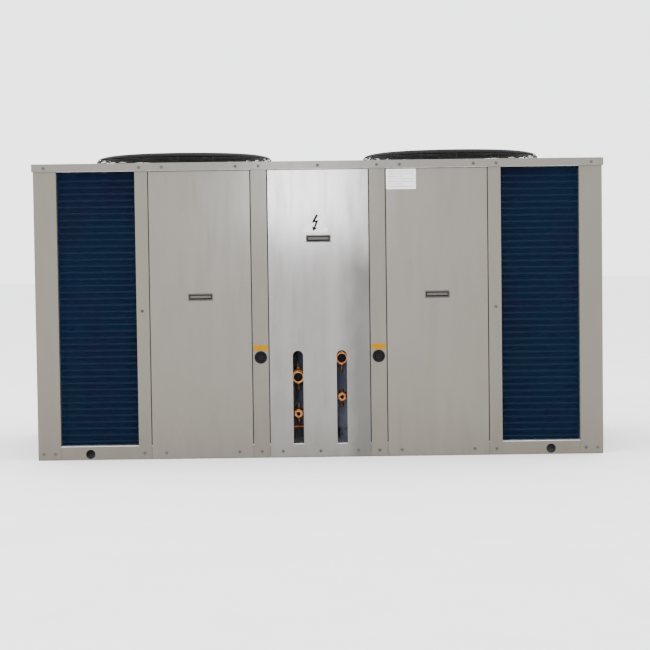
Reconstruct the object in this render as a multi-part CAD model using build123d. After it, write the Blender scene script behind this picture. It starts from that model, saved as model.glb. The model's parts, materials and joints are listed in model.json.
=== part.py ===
"""Air-cooled scroll condensing unit: a sheet-steel cabinet with two top-discharge fans,
two C-shaped condenser coils, two scroll compressors and their valves, pipes and switchgear.

Millimetres. Origin at the middle of the footprint, on the ground. +X is the unit's right as
seen from the service side, +Y points to the back, +Z is up.
"""

import math
import os

from build123d import *

# ---------------------------------------------------------------- driving dimensions
cover_width = 2210.0
cover_depth = 1090.0
cabinet_height = 1150.0
cover_overhang = 5.0
sheet = 1.5

half_x = cover_width / 2 - cover_overhang  # outer face of the end walls
half_y = cover_depth / 2 - cover_overhang  # outer face of the front and rear walls
inner_x = half_x - sheet
inner_y = half_y - sheet

rail_height = 52.0
rail_sheet = 2.5
rail_foot = 50.0
rail_lip = 40.0
anchor_x = 760.0
anchor_inset = 28.0
anchor_radius = 7.0
lift_x = 896.0
lift_z = 22.5
lift_radius = 18.0
pan_sheet = 2.0
pan_top = rail_height + pan_sheet

skirt_height = 30.0
skirt_bottom = cabinet_height - skirt_height
frame_top = cabinet_height - sheet
wall_bottom = 3.0
wall_top = skirt_bottom - 3.0
return_top = skirt_bottom - 2.0
bend_radius = 1.2

corner_width = 89.0
jamb_depth = 32.0
coil_post_inner = 658.0
coil_post_outer = 708.0
mullion_inner = 198.0
mullion_outer = 260.0
mullion_depth = 25.0
door_gap = 3.0
door_flange = 16.0

side_door_x = (coil_post_inner + mullion_outer) / 2
side_door_width = coil_post_inner - mullion_outer - 2 * door_gap
centre_door_width = 2 * (mullion_inner - door_gap)
side_handle_z = 629.0
centre_handle_z = 850.0
handle_width = 96.0
handle_height = 28.0
pocket_width = 86.0
pocket_height = 20.0
pocket_depth = 20.0
pocket_wall = 1.5

slot_x = 85.0
slot_width = 40.0
slot_bottom = 51.0
slot_top = 416.0

grommet_x = (mullion_inner + mullion_outer) / 2
grommet_z = 392.0
cable_radius = 16.0

foot_screw_z = 25.0
skirt_screw_z = 1133.0
jamb_screw_x = 686.0
jamb_screw_z = 578.0
skirt_screw_x = (0.0, 229.0, 317.0, 602.0, 690.0, 1058.0)
frame_screw_x = (grommet_x, 685.0, 1033.0, 1078.0)
side_door_screw_x = (316.0, 600.0)
centre_door_screw_x = (-147.0, 0.0, 147.0)
end_screw_y = (0.0, 260.0, 500.0)
screw_head_radius = 6.0
screw_head_height = 2.5
screw_shank_radius = 2.4
screw_shank_length = 9.0
screw_hole_radius = 3.2

coil_face_gap = 34.0
coil_depth = 44.0
coil_end_x = 664.0
coil_bottom = 56.0
coil_top = 1116.0
coil_bend = 30.0
tube_radius = 4.8
row_offset = 11.0

fan_x = 552.0
orifice_radius = 326.0
flange_radius = 371.0
flare_radius = 24.0
flare_z = 1064.0
guard_radius = 360.0
guard_rim_z = 1188.0
guard_crown_radius = 215.0
guard_top_z = 1203.0
impeller_radius = 318.0
hub_radius = 84.0
rotor_can_radius = 65.0
impeller_z = 1095.0
blade_count = 5

compressor_x = 250.0
compressor_y = -130.0
foot_pitch = 190.0
foot_plate_z = 74.0
shell_radius = 116.0
shell_wall = 4.0
shell_bore = shell_radius - shell_wall
fit_gap = 0.1
suction_port_z = 350.0
discharge_port_z = 520.0

orbit_radius = 5.0
wrap_thickness = 4.0
wrap_clearance = 0.5
involute_base = (orbit_radius + wrap_thickness + wrap_clearance) / math.pi
wrap_start = 1.5 * math.pi
wrap_end = 5.5 * math.pi
shaft_radius = 16.0
pin_radius = 13.0
running_gap = 0.06
frame_low_z = 370.0
thrust_z = 428.0
orbit_plate_z = 434.0
wrap_floor_z = 444.0
wrap_roof_z = 474.0
fixed_plate_top = 496.0
key_width = 10.0
ring_radius = 90.0
ring_width = 14.0

valve_front = -(half_y - 4.0)
valve_back = -435.0
stem_y = -468.0
suction_socket_radius = 17.6
liquid_socket_radius = 8.05
suction_tube_radius = 17.5
liquid_tube_radius = 8.0
discharge_tube_radius = 11.0
circuits = {
    "a": {"side": -1, "suction_z": 313.0, "liquid_z": 170.0, "receiver_x": -35.0},
    "b": {"side": 1, "suction_z": 385.0, "liquid_z": 233.0, "receiver_x": 120.0},
}
suction_line_y = -372.0
liquid_line_y = -402.0
drier_y = -380.0
drier_z = 105.0
receiver_y = -290.0
receiver_radius = 58.0
receiver_top = 430.0
gas_header_x = 636.0
gas_header_y = -495.0
gas_header_z = 580.0
liquid_header_x = 640.0
liquid_header_y = -473.0
liquid_header_z = 150.0

box_half_width = 180.0
box_bottom = 560.0
box_top = 1095.0
box_front = -(half_y - mullion_depth)
box_back = -340.0
breaker_x = -105.0
breaker_z = 1000.0
breaker_front = -423.0


# ---------------------------------------------------------------- small helpers
def block(x0, x1, y0, y1, z0, z1):
    """A box between two opposite corners."""
    middle = ((x0 + x1) / 2, (y0 + y1) / 2, (z0 + z1) / 2)
    return Pos(*middle) * Box(abs(x1 - x0), abs(y1 - y0), abs(z1 - z0))


def upright(radius, x, y, z0, z1):
    """A cylinder along Z."""
    return Pos(x, y, (z0 + z1) / 2) * Cylinder(radius, z1 - z0)


def along_x(radius, y, z, x0, x1):
    """A cylinder along X."""
    return Pos((x0 + x1) / 2, y, z) * Rot(0, 90, 0) * Cylinder(radius, abs(x1 - x0))


def along_y(radius, x, z, y0, y1):
    """A cylinder along Y."""
    return Pos(x, (y0 + y1) / 2, z) * Rot(90, 0, 0) * Cylinder(radius, abs(y1 - y0))


def left_right(shape):
    """The shape and its mirror image across the middle of the unit."""
    return [shape, mirror(shape, about=Plane.YZ)]


def front_rear(shape):
    """The shape and its mirror image at the back of the unit."""
    return [shape, mirror(shape, about=Plane.XZ)]


def edges_at(shape, axis, x=None, y=None, z=None):
    """The edges along an axis whose middles lie at the given coordinates."""
    found = []
    for edge in shape.edges().filter_by(axis):
        middle = edge.center()
        wanted = ((x, middle.X), (y, middle.Y), (z, middle.Z))
        if all(aim is None or abs(aim - here) < 0.05 for aim, here in wanted):
            found.append(edge)
    return found


def save(name, *shapes):
    """Writes the solids of one node."""
    solids = [solid for shape in shapes for solid in shape.solids()]
    export_step(solids[0] if len(solids) == 1 else Compound(solids), f"parts/{name}.step")


def tube(points, radius, bend):
    """A round tube along straight runs joined by bends of one radius."""
    path = FilletPolyline(*points, radius=bend)
    section = Plane(origin=path @ 0, z_dir=path % 0) * Circle(radius)
    return sweep(section, path=path)


# ---------------------------------------------------------------- screws
def screw():
    """A pan-head screw, its head towards -Y and its shank through the sheets."""
    head = along_y(screw_head_radius, 0, 0, -screw_head_height, 0)
    head = fillet(head.edges().sort_by(Axis.Y)[0], 1.5)
    return head + along_y(screw_shank_radius, 0, 0, 0, screw_shank_length)


def screw_holes(places):
    """Cutters for the clearance holes of screws at the given places."""
    hole = along_y(screw_hole_radius, 0, 0, -screw_head_height, screw_shank_length + 1)
    return [place * hole for place in places]


def both_sides(distances):
    """Distances from the middle of the unit, mirrored to both sides."""
    return sorted({side * x for x in distances for side in (-1, 1)})


def cabinet_screw_places():
    """Where the screws that stay in the cabinet sit: front, then back, then ends."""
    front = [Pos(x, -cover_depth / 2, skirt_screw_z) for x in both_sides(skirt_screw_x)]
    front += [Pos(x, -half_y, foot_screw_z) for x in both_sides(frame_screw_x)]
    front += [Pos(x, -half_y, jamb_screw_z) for x in both_sides([jamb_screw_x])]
    rear = front + front_door_screw_places()
    end = [Pos(y, -cover_width / 2, skirt_screw_z) for y in both_sides(end_screw_y)]
    end += [Pos(y, -half_x, foot_screw_z) for y in both_sides([end_screw_y[-1]])]
    ends = [Rot(0, 0, turn) * place for turn in (-90, 90) for place in end]
    return front + [Rot(0, 0, 180) * place for place in rear] + ends


def door_screw_places(x_values):
    """Where the screws along the foot of a front panel sit."""
    return [Pos(x, -half_y, foot_screw_z) for x in x_values]


def front_door_screw_places():
    """Where the screws of the three front panels sit."""
    return door_screw_places(both_sides(side_door_screw_x)) + door_screw_places(centre_door_screw_x)


def make_screws():
    rows = {
        "cabinet_screws": cabinet_screw_places(),
        "left_panel_screws": door_screw_places([-x for x in side_door_screw_x]),
        "control_panel_screws": door_screw_places(centre_door_screw_x),
        "right_panel_screws": door_screw_places(side_door_screw_x),
    }
    for name, places in rows.items():
        save(name, *[place * screw() for place in places])


# ---------------------------------------------------------------- base
def long_rail():
    """The front base channel, with lifting holes and anchor holes."""
    web_back = -inner_y + rail_sheet
    rail = block(-inner_x, inner_x, -inner_y, web_back, 0, rail_height)
    rail += block(-inner_x, inner_x, -inner_y, -inner_y + rail_foot, 0, rail_sheet)
    lip_low = rail_height - rail_sheet
    rail += block(-inner_x, inner_x, -inner_y, -inner_y + rail_lip, lip_low, rail_height)
    for side in (-1, 1):
        rail -= along_y(lift_radius, side * lift_x, lift_z, -half_y, web_back + 1)
        rail -= upright(anchor_radius, side * anchor_x, -inner_y + anchor_inset, -1, rail_sheet + 1)
    return rail


def end_rail():
    """The left base channel, between the two long rails."""
    reach = inner_y - rail_foot
    rail = block(-inner_x, -inner_x + rail_sheet, -reach, reach, 0, rail_height)
    rail += block(-inner_x, -inner_x + rail_foot, -reach, reach, 0, rail_sheet)
    rail += block(-inner_x, -inner_x + rail_lip, -reach, reach, rail_height - rail_sheet, rail_height)
    return rail


def cross_member(x):
    """An inverted channel under the floor pan, below a line of compressor feet."""
    reach = inner_y - rail_foot
    half = 30.0
    member = block(x - half, x + half, -reach, reach, rail_height - rail_sheet, rail_height)
    for edge in (x - half, x + half - rail_sheet):
        member += block(edge, edge + rail_sheet, -reach, reach, 0, rail_height)
    return member


def floor_pan():
    """The floor sheet, with two drain holes under each coil."""
    pan = block(-inner_x, inner_x, -inner_y, inner_y, rail_height, pan_top)
    for x in (-980, 980):
        for y in (-300, 300):
            pan -= upright(12, x, y, rail_height - 1, pan_top + 1)
    return pan


def make_base():
    rail = long_rail() - screw_holes(cabinet_screw_places() + front_door_screw_places())
    save("base_rail_front", rail)
    save("base_rail_rear", mirror(rail, about=Plane.XZ))
    feet = [compressor_x - foot_pitch / 2, compressor_x + foot_pitch / 2]
    members = [cross_member(x) for x in both_sides(feet)]
    save("base_cross_rails", *left_right(end_rail()), *members)
    save("floor_pan", floor_pan())


# ---------------------------------------------------------------- cabinet frame
def corner_post():
    """The front left post: two faces and a return along each coil opening."""
    post = block(-half_x, -half_x + corner_width, -half_y, -inner_y, wall_bottom, frame_top)
    post += block(-half_x, -inner_x, -half_y, -half_y + corner_width, wall_bottom, frame_top)
    edge = -half_x + corner_width
    post += block(edge - sheet, edge, -half_y, -half_y + jamb_depth, pan_top, return_top)
    edge = -half_y + corner_width
    post += block(-half_x, -half_x + jamb_depth, edge - sheet, edge, pan_top, return_top)
    return fillet(edges_at(post, Axis.Z, x=-half_x, y=-half_y), 3.0)


def channel_post(x0, x1, depth):
    """A front post of channel section between x0 and x1."""
    post = block(x0, x1, -half_y, -inner_y, wall_bottom, frame_top)
    for edge in (x0, x1 - sheet):
        post += block(edge, edge + sheet, -half_y, -half_y + depth, pan_top, return_top)
    rims = edges_at(post, Axis.Z, x=x0, y=-half_y) + edges_at(post, Axis.Z, x=x1, y=-half_y)
    return fillet(rims, bend_radius)


def top_rail(length, depth):
    """A channel along X that carries the cover, its web outwards at -Y."""
    rail = block(-length, length, -depth, -depth + sheet, skirt_bottom - 1, frame_top)
    rail += block(-length, length, -depth, -depth + 30, frame_top - sheet, frame_top)
    return rail + block(-length, length, -depth, -depth + 30, skirt_bottom - 1, skirt_bottom - 1 + sheet)


def top_cover():
    """The roof sheet with its turned-down skirt, a hem that meets the posts, and two fan holes."""
    out_x, out_y = cover_width / 2, cover_depth / 2
    cover = block(-out_x, out_x, -out_y, out_y, skirt_bottom, cabinet_height)
    skirt_x, skirt_y = out_x - sheet, out_y - sheet
    cover -= block(-skirt_x, skirt_x, -skirt_y, skirt_y, skirt_bottom + sheet, frame_top)
    cover -= block(-half_x, half_x, -half_y, half_y, skirt_bottom - 1, skirt_bottom + 2 * sheet)
    for side in (-1, 1):
        cover -= upright(orifice_radius + 6, side * fan_x, 0, frame_top - 5, cabinet_height + 5)
    rims = []
    for side in (-1, 1):
        rims += edges_at(cover, Axis.X, y=side * out_y, z=cabinet_height)
        rims += edges_at(cover, Axis.Y, x=side * out_x, z=cabinet_height)
    return fillet(rims, bend_radius)


def make_frame():
    holes = screw_holes(cabinet_screw_places())
    front = left_right(corner_post() - holes)
    save("corner_posts", *front, *[mirror(post, about=Plane.XZ) for post in front])
    coil_posts = left_right(channel_post(-coil_post_outer, -coil_post_inner, jamb_depth) - holes)
    save("coil_posts", *coil_posts, *[mirror(post, about=Plane.XZ) for post in coil_posts])
    plain = channel_post(-mullion_outer, -mullion_inner, mullion_depth) - holes
    drilled = plain - along_y(23, -grommet_x, grommet_z, -half_y - 1, -inner_y + 1)
    rear = mirror(plain, about=Plane.XZ)
    save("mullions", *left_right(drilled), *left_right(rear))
    long_one = top_rail(inner_x, inner_y) - holes
    end_one = Rot(0, 0, -90) * top_rail(inner_y - 30, inner_x) - holes
    save("top_rails", *front_rear(long_one), *left_right(end_one))
    save("top_cover", top_cover() - holes)


# ---------------------------------------------------------------- doors, handles and labels
def door(x, width, handle_z):
    """A tray-shaped access panel with a cut-out for its pull."""
    x0, x1 = x - width / 2, x + width / 2
    back = -half_y + door_flange
    panel = block(x0, x1, -half_y, -inner_y, wall_bottom, wall_top)
    for edge in (x0, x1 - sheet):
        panel += block(edge, edge + sheet, -half_y, back, pan_top + 2, wall_top)
    panel += block(x0, x1, -half_y, back, wall_top - sheet, wall_top)
    panel -= block(
        x - pocket_width / 2 - 0.5,
        x + pocket_width / 2 + 0.5,
        -half_y - 1,
        -inner_y + 1,
        handle_z - pocket_height / 2 - 0.5,
        handle_z + pocket_height / 2 + 0.5,
    )
    rims = edges_at(panel, Axis.Z, x=x0, y=-half_y) + edges_at(panel, Axis.Z, x=x1, y=-half_y)
    return fillet(rims + edges_at(panel, Axis.X, y=-half_y, z=wall_top), bend_radius)


def pipe_slot(x):
    """The cutter for one tall slot with a round top."""
    half = slot_width / 2
    straight_top = slot_top - half
    cutter = block(x - half, x + half, -half_y - 1, -inner_y + 1, slot_bottom, straight_top)
    return cutter + along_y(half, x, straight_top, -half_y - 1, -inner_y + 1)


def handle(x, z):
    """A flush pull: a bezel, a pocket behind it and a lip to hook the fingers under."""
    face = -half_y - 2.0
    back = -half_y + pocket_depth
    half_w, half_h = handle_width / 2, handle_height / 2
    bezel = block(x - half_w, x + half_w, face, -half_y, z - half_h, z + half_h)
    bezel = fillet(edges_at(bezel, Axis.Y, y=face + 1.0), 3.0)
    cup_w, cup_h = pocket_width / 2, pocket_height / 2
    cup = block(x - cup_w, x + cup_w, -half_y, back, z - cup_h, z + cup_h)
    in_w, in_h = cup_w - pocket_wall, cup_h - pocket_wall
    hollow = block(x - in_w, x + in_w, -half_y, back - pocket_wall, z - in_h, z + in_h)
    mouth = block(x - in_w, x + in_w, face - 1, -half_y, z - in_h, z + in_h - 5.0)
    return bezel + cup - hollow - mouth


def warning_sign():
    """A blank triangular plate with round corners."""
    x, low, high, half = -12.0, 875.0, 970.0, 55.0
    outline = Polyline((x - half, low), (x + half, low), (x, high), close=True)
    face = make_face(outline)
    face = fillet(face.vertices(), 7.0)
    return extrude(Plane.XZ.offset(half_y) * face, 0.6)


def plate_on_front(x0, x1, z0, z1, thickness):
    """A thin label stuck on the front."""
    return block(x0, x1, -half_y - thickness, -half_y, z0, z1)


def grommet(x):
    """A rubber bush in a mullion, for the supply cable."""
    bush = along_y(24.5, x, grommet_z, -half_y - 3, -half_y)
    bush += along_y(22.8, x, grommet_z, -half_y, -inner_y)
    bush += along_y(25.0, x, grommet_z, -inner_y, -inner_y + 3.5)
    return bush - along_y(cable_radius, x, grommet_z, -half_y - 4, -inner_y + 5)


def make_doors():
    holes = screw_holes(front_door_screw_places())
    left = door(-side_door_x, side_door_width, side_handle_z) - holes
    right = mirror(left, about=Plane.YZ)
    centre = door(0, centre_door_width, centre_handle_z) - holes
    save("left_access_panel", left)
    save("right_access_panel", right)
    save("control_access_panel", centre - pipe_slot(-slot_x) - pipe_slot(slot_x))
    save("rear_panels", *[mirror(panel, about=Plane.XZ) for panel in (left, right, centre)])

    pulls = {
        "left": handle(-side_door_x, side_handle_z),
        "control": handle(0, centre_handle_z),
        "right": handle(side_door_x, side_handle_z),
    }
    for name, pull in pulls.items():
        save(f"{name}_panel_handle", pull)
    save("rear_panel_handles", *[mirror(pull, about=Plane.XZ) for pull in pulls.values()])

    save("cable_grommets", grommet(-grommet_x), grommet(grommet_x))
    save("electrical_sign", warning_sign())
    yellow = plate_on_front(grommet_x - 28, grommet_x + 28, 418, 440, 0.4)
    save("port_labels", *left_right(yellow))
    save("data_label", plate_on_front(265, 380, 1037, 1115, 0.4))


# ---------------------------------------------------------------- coils
def coil_block():
    """The left finned block: a front leg, an end wall and a rear leg with rounded bends."""
    out_x, out_y = half_x - coil_face_gap, half_y - coil_face_gap
    outer = block(-out_x, -coil_end_x, -out_y, out_y, coil_bottom, coil_top)
    corners = [e for side in (-1, 1) for e in edges_at(outer, Axis.Z, x=-out_x, y=side * out_y)]
    outer = fillet(corners, coil_bend + coil_depth)
    in_x, in_y = out_x - coil_depth, out_y - coil_depth
    inner = block(-in_x, -coil_end_x + 1, -in_y, in_y, coil_bottom - 1, coil_top + 1)
    corners = [e for side in (-1, 1) for e in edges_at(inner, Axis.Z, x=-in_x, y=side * in_y)]
    return outer - fillet(corners, coil_bend)


def tube_sheet():
    """The galvanised plate at the left coil's front end."""
    middle_y = -(half_y - coil_face_gap - coil_depth / 2)
    edge = -coil_end_x
    return block(edge, edge + sheet, middle_y - 28, middle_y + 28, pan_top, return_top)


def return_bends(pitch):
    """Hairpin ends between the two rows of tubes at the left coil's rear end."""
    middle_y = half_y - coil_face_gap - coil_depth / 2
    face = -coil_end_x + sheet
    keep = block(face, face + 40, middle_y - 40, middle_y + 40, 0, coil_top)
    bends = []
    z = coil_bottom + pitch / 2
    while z < coil_top - 10:
        bends.append((Pos(face, middle_y, z) * Torus(row_offset, tube_radius)) & keep)
        z += pitch
    return bends


def headers():
    """The left coil's gas and liquid headers with their feeder stubs."""
    face = -coil_end_x + sheet
    gas = upright(14, -gas_header_x, gas_header_y, gas_header_z, 1060)
    for n in range(9):
        gas += along_x(tube_radius, gas_header_y, 605 + 50.8 * n, face, -gas_header_x)
    liquid = upright(8, -liquid_header_x, liquid_header_y, liquid_header_z, 440)
    for n in range(5):
        liquid += along_x(tube_radius, liquid_header_y, 175 + 50.8 * n, face, -liquid_header_x)
    return [gas, liquid]


def make_coils():
    fins = coil_block()
    save("coil_left_fins", fins)
    save("coil_right_fins", mirror(fins, about=Plane.YZ))
    pipework = headers() + return_bends(50.8)
    save("coil_left_pipework", *pipework)
    save("coil_right_pipework", *[mirror(piece, about=Plane.YZ) for piece in pipework])
    sheets = left_right(tube_sheet())
    save("coil_tube_sheets", *sheets, *[mirror(plate, about=Plane.XZ) for plate in sheets])


# ---------------------------------------------------------------- fans
def fan_orifice():
    """The spun ring round the right fan, flared at its inlet and flanged on the roof."""
    outer = orifice_radius + sheet
    ring = upright(outer, 0, 0, flare_z, cabinet_height)
    ring += upright(flange_radius, 0, 0, cabinet_height, cabinet_height + sheet)
    ring -= upright(orifice_radius, 0, 0, flare_z - 1, cabinet_height + 5)
    middle = orifice_radius + flare_radius
    flare = Torus(middle, flare_radius) - Torus(middle, flare_radius - sheet)
    flare = (Pos(0, 0, flare_z) * flare) & upright(middle, 0, 0, flare_z - flare_radius, flare_z)
    return Pos(fan_x, 0, 0) * (ring + flare)


def guard_height(radius):
    """Height of the guard's rings above the ground at a radius."""
    slope = (guard_top_z - 2 - guard_rim_z) / (guard_radius - guard_crown_radius)
    return min(guard_top_z - 2, guard_rim_z + slope * (guard_radius - radius))


def fan_guard():
    """A welded wire basket: rings on radial wires, with a plate that carries the motor."""
    foot_z = cabinet_height + sheet + 2.5
    crown_z = guard_top_z - 4
    spoke_line = FilletPolyline(
        (guard_radius, 0, foot_z),
        (guard_radius, 0, guard_rim_z - 2),
        (guard_crown_radius, 0, crown_z),
        (60, 0, crown_z),
        radius=10,
    )
    section = Plane(origin=spoke_line @ 0, z_dir=spoke_line % 0) * Circle(2.5)
    spoke = sweep(section, path=spoke_line)
    guard = upright(72, 0, 0, crown_z - 2.5, crown_z + 0.5)
    guard += [Rot(0, 0, 45 * n) * spoke for n in range(8)]
    rings = [Pos(0, 0, foot_z) * Torus(guard_radius, 2.5)]
    for n in range(7):
        radius = guard_radius - 42 * n
        rings.append(Pos(0, 0, guard_height(radius)) * Torus(radius, 2))
    return Pos(fan_x, 0, 0) * (guard + rings)


def fan_stator():
    """The fixed half of the outer-rotor motor, hung from the guard's plate."""
    plate_z = guard_top_z - 4 - 2.5
    stator = upright(60, 0, 0, plate_z - 16, plate_z) + upright(30, 0, 0, plate_z - 22, plate_z)
    stator += block(20, 78, -16, 16, plate_z - 20, plate_z - 4)
    return Pos(fan_x, 0, 0) * stator


def fan_impeller():
    """The turning half: rotor can, hub ring and riveted blades."""
    can_top = guard_top_z - 4 - 2.5 - 24
    can = upright(rotor_can_radius, 0, 0, impeller_z - 22, can_top)
    can = fillet(can.edges().sort_by(Axis.Z)[0], 6)
    can += upright(hub_radius, 0, 0, impeller_z - 18, impeller_z + 22)
    root = Plane(origin=(60, 0, impeller_z), x_dir=(0, 1, 0), z_dir=(1, 0, 0))
    tip = Plane(origin=(340, 0, impeller_z), x_dir=(0, 1, 0), z_dir=(1, 0, 0))
    blade = loft([root * Rot(0, 0, 30) * Rectangle(140, 3), tip * Rot(0, 0, 16) * Rectangle(215, 3)])
    blade &= upright(impeller_radius, 0, 0, impeller_z - 100, impeller_z + 100)
    blade -= upright(hub_radius, 0, 0, impeller_z - 100, impeller_z + 100)
    blades = [Rot(0, 0, 360 / blade_count * n) * blade for n in range(blade_count)]
    return [Pos(fan_x, 0, 0) * shape for shape in [can, *blades]]


def make_fans():
    guard = fan_guard()
    save("fan_guard_right", guard)
    save("fan_guard_left", Pos(-2 * fan_x, 0, 0) * guard)
    orifice = fan_orifice()
    save("fan_orifice_right", orifice)
    save("fan_orifice_left", Pos(-2 * fan_x, 0, 0) * orifice)
    stator = fan_stator()
    save("fan_motor_stators", stator, Pos(-2 * fan_x, 0, 0) * stator)
    impeller = fan_impeller()
    save("fan_impeller_right", *impeller)
    save("fan_impeller_left", *[Pos(-2 * fan_x, 0, 0) * shape for shape in impeller])


# ---------------------------------------------------------------- compressors
def compressor_shell():
    """Three welded pressings on a square foot plate, round its own axis."""
    foot = block(-120, 120, -120, 120, foot_plate_z, foot_plate_z + 5)
    foot = fillet(foot.edges().filter_by(Axis.Z), 25)
    for x in (-1, 1):
        for y in (-1, 1):
            foot -= upright(9, x * foot_pitch / 2, y * foot_pitch / 2, foot_plate_z - 1, foot_plate_z + 6)
    low = upright(shell_radius, 0, 0, foot_plate_z + 5, 120)
    low = fillet(low.edges().sort_by(Axis.Z)[0], 20)
    low -= upright(shell_bore, 0, 0, 100, 121)
    middle = upright(shell_radius, 0, 0, 120, 500) - upright(shell_bore, 0, 0, 119, 501)
    middle += along_y(20, 0, suction_port_z, -shell_radius - 25, -shell_bore)
    middle -= upright(shell_bore, 0, 0, 119, 501)
    high = upright(shell_radius, 0, 0, 500, 560)
    high = fillet(high.edges().sort_by(Axis.Z)[-1], 38)
    high -= upright(shell_bore - 40, 0, 0, 499, 545) + upright(shell_bore, 0, 0, 499, 520)
    high += along_x(14, 0, discharge_port_z, shell_bore + 1, shell_radius + 14)
    high -= upright(shell_bore, 0, 0, 499, 520)
    return [foot + low, middle, high]


def stator():
    """Laminations and end windings of the compressor motor."""
    core = upright(shell_bore - fit_gap, 0, 0, 165, 295)
    windings = upright(98, 0, 0, 145, 165) + upright(98, 0, 0, 295, 318)
    return core + windings - upright(62, 0, 0, 140, 320)


def crankshaft():
    """Rotor, counterweights and shaft with its eccentric pin, at its rest angle."""
    shaft = upright(shaft_radius, 0, 0, 130, thrust_z - 25)
    shaft += upright(pin_radius, orbit_radius, 0, thrust_z - 25, orbit_plate_z - 3)
    shaft += upright(61, 0, 0, 160, 300)
    weight = upright(52, 0, 0, 300, 330) & block(-60, 0, -60, 60, 300, 330)
    return shaft + weight


def main_frame():
    """The cast bearing housing: shaft bore, room for the hub and keyways for the ring."""
    frame = upright(shell_bore - fit_gap, 0, 0, 395, thrust_z) + upright(38, 0, 0, frame_low_z, 395)
    frame -= upright(shaft_radius + running_gap, 0, 0, frame_low_z - 1, thrust_z)
    hub_room = 22 + orbit_radius + 2
    frame -= upright(hub_room, 0, 0, thrust_z - 27, thrust_z + 1)
    sweep_room = key_width / 2 + orbit_radius + 1
    keyway = block(
        ring_radius - ring_width / 2 - orbit_radius - 1,
        ring_radius + ring_width / 2 + orbit_radius + 1,
        -sweep_room,
        sweep_room,
        thrust_z - 7,
        thrust_z + 1,
    )
    frame -= keyway + mirror(keyway, about=Plane.YZ)
    lower = upright(shell_bore - fit_gap, 0, 0, 126, 138)
    lower -= upright(shaft_radius + running_gap, 0, 0, 120, 140)
    return [frame, lower]


def involute_wall(z0, z1):
    """A scroll wrap of even thickness, as the strip between two involutes."""
    lean = wrap_thickness / 2 / involute_base

    def flank(shift):
        steps = 48
        points = []
        for n in range(steps + 1):
            turn = wrap_start + (wrap_end - wrap_start) * n / steps
            reach = turn + shift
            x = involute_base * (math.cos(turn) + reach * math.sin(turn))
            y = involute_base * (math.sin(turn) - reach * math.cos(turn))
            points.append((x, y))
        return points

    inner, outer = flank(-lean), flank(lean)
    sides = [Spline(*inner), Line(inner[-1], outer[-1]), Spline(*outer), Line(outer[0], inner[0])]
    return extrude(Pos(0, 0, z0) * make_face(sides), z1 - z0)


def orbiting_scroll():
    """Plate, wrap and hub on the eccentric pin, at the crank's rest angle."""
    scroll = upright(70, 0, 0, orbit_plate_z, wrap_floor_z)
    keyed = ring_radius + ring_width / 2
    scroll += block(-22, 22, -keyed, keyed, orbit_plate_z, wrap_floor_z)
    scroll += upright(22, 0, 0, thrust_z - 24, orbit_plate_z)
    scroll -= upright(pin_radius + running_gap, 0, 0, thrust_z - 25, orbit_plate_z - 2)
    slot_half = key_width / 2 + 2 * orbit_radius + 0.3
    for y in (-1, 1):
        middle = y * ring_radius
        scroll -= block(
            -slot_half,
            slot_half,
            middle - ring_width,
            middle + ring_width,
            orbit_plate_z - 1,
            orbit_plate_z + 6,
        )
    return Pos(orbit_radius, 0, 0) * (scroll + involute_wall(wrap_floor_z, wrap_roof_z - 0.2))


def fixed_scroll():
    """The plate and wrap that the orbiting scroll seals against, with a discharge port."""
    outer = shell_bore - fit_gap
    scroll = upright(outer, 0, 0, wrap_roof_z, fixed_plate_top)
    scroll += upright(outer, 0, 0, thrust_z, wrap_roof_z) - upright(104.5, 0, 0, thrust_z - 1, wrap_roof_z)
    scroll += Rot(0, 0, 180) * involute_wall(wrap_floor_z + 0.2, wrap_roof_z)
    return scroll - upright(7, 0, 0, wrap_roof_z - 5, fixed_plate_top + 1)


def oldham_ring():
    """The sliding ring, with keys down into the frame and up into the orbiting scroll."""
    inner, outer = ring_radius - ring_width / 2, ring_radius + ring_width / 2
    low, high = thrust_z + 0.2, orbit_plate_z - 0.2
    ring = upright(outer, 0, 0, low, high) - upright(inner, 0, 0, low - 1, high + 1)
    half = key_width / 2
    for side in (-1, 1):
        middle = side * ring_radius
        ring += block(middle - 6, middle + 6, -half, half, low - 6, high)
        ring += block(-half, half, middle - 6, middle + 6, low, high + 5)
    return Pos(orbit_radius, 0, 0) * ring


def terminal_box():
    """The electrical box on the shell's front."""
    box = block(-45, 45, -shell_radius - 52, -90, 180, 295)
    box = fillet(edges_at(box, Axis.Z, y=-shell_radius - 52), 8)
    return box - upright(shell_radius + 0.2, 0, 0, 170, 305)


def rubber_mounts():
    """Four rubber feet between the pan and the foot plate."""
    feet = []
    for x in (-1, 1):
        for y in (-1, 1):
            foot = upright(20, x * foot_pitch / 2, y * foot_pitch / 2, pan_top, foot_plate_z)
            foot -= upright(6, x * foot_pitch / 2, y * foot_pitch / 2, pan_top - 1, foot_plate_z + 1)
            feet.append(foot)
    return feet


def make_compressors():
    places = {name: Pos(c["side"] * compressor_x, compressor_y, 0) for name, c in circuits.items()}

    def both(shapes):
        return [place * shape for place in places.values() for shape in shapes]

    shell = compressor_shell()
    right = [places["b"] * shape for shape in shell]
    left = [mirror(shape, about=Plane.YZ) for shape in right]
    save("compressor_shells", *left, *right)
    save("compressor_stators", *both([stator()]))
    save("compressor_frames", *both(main_frame()))
    save("fixed_scrolls", *both([fixed_scroll()]))
    save("compressor_terminal_boxes", *both([terminal_box()]))
    save("compressor_mounts", *both(rubber_mounts()))
    for name, place in places.items():
        save(f"crankshaft_{name}", place * crankshaft())
        save(f"orbiting_scroll_{name}", place * orbiting_scroll())
        save(f"oldham_ring_{name}", place * oldham_ring())


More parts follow.
